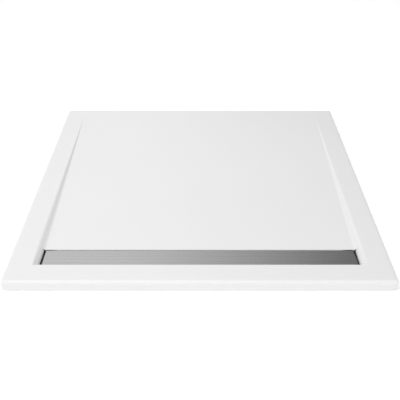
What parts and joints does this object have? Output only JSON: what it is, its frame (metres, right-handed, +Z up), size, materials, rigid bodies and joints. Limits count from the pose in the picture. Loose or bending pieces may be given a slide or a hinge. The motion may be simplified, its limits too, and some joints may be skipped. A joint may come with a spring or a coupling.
{
  "type": "shower tray",
  "caption": "Square low shower tray in white acrylic on a cast core, its floor falling to a linear drain with a steel cover; a trap hangs below.",
  "frame": {"origin": "centre of the tray's underside, which is the face that lies on the mortar bed or finished floor", "axes": "+Z up, +X to the right and +Y to the back when the drain is at the front"},
  "size_m": [0.9, 0.9, 0.153],
  "materials": {
    "white_acrylic": "glossy",
    "cast_resin": "matt",
    "glass_mat": "matt",
    "brushed_steel": "brushed along its length",
    "plain_steel": "mill finish",
    "polished_steel": "polished",
    "screw_steel": "plain",
    "black_rubber": "matt",
    "brass": "turned",
    "grey_plastic": "satin",
    "white_plastic": "satin"
  },
  "bodies": {
    "tray": {"acrylic_cap": "white_acrylic", "stone_resin_core": "cast_resin", "backing_mat": "glass_mat", "waste_flange": "polished_steel", "flange_gasket": "black_rubber", "flange_screws": "screw_steel", "screw_inserts": "brass", "body_gasket": "black_rubber", "trap_upper": "white_plastic", "trap_lower": "white_plastic", "trap_outlet": "white_plastic", "outlet_seal": "black_rubber", "outlet_washer": "grey_plastic", "outlet_nut": "white_plastic"},
    "cover": {"drain_cover": "brushed_steel", "cover_bracket_1": "plain_steel", "cover_bracket_2": "plain_steel", "cover_bracket_3": "plain_steel", "cover_bracket_4": "plain_steel", "cover_feet": "black_rubber", "cover_bumpers": "black_rubber"},
    "strainer": {"hair_strainer": "polished_steel"},
    "dip_tube_body": {"dip_tube": "grey_plastic", "dip_tube_ring": "black_rubber"}
  },
  "joints": [
    {"name": "cover_lift", "type": "slide", "parent": "tray", "child": "cover", "axis": [0, 0, 1], "range_m": [0, 0.25]},
    {"name": "strainer_lift", "type": "slide", "parent": "tray", "child": "strainer", "axis": [0, 0, 1], "range_m": [0, 0.2]},
    {"name": "dip_tube_lift", "type": "slide", "parent": "tray", "child": "dip_tube_body", "axis": [0, 0, 1], "range_m": [0, 0.15]}
  ],
  "couplings": [
    {"joint": "strainer_lift", "follows": "cover_lift", "ratio": 0.8},
    {"joint": "dip_tube_lift", "follows": "cover_lift", "ratio": 0.6}
  ]
}
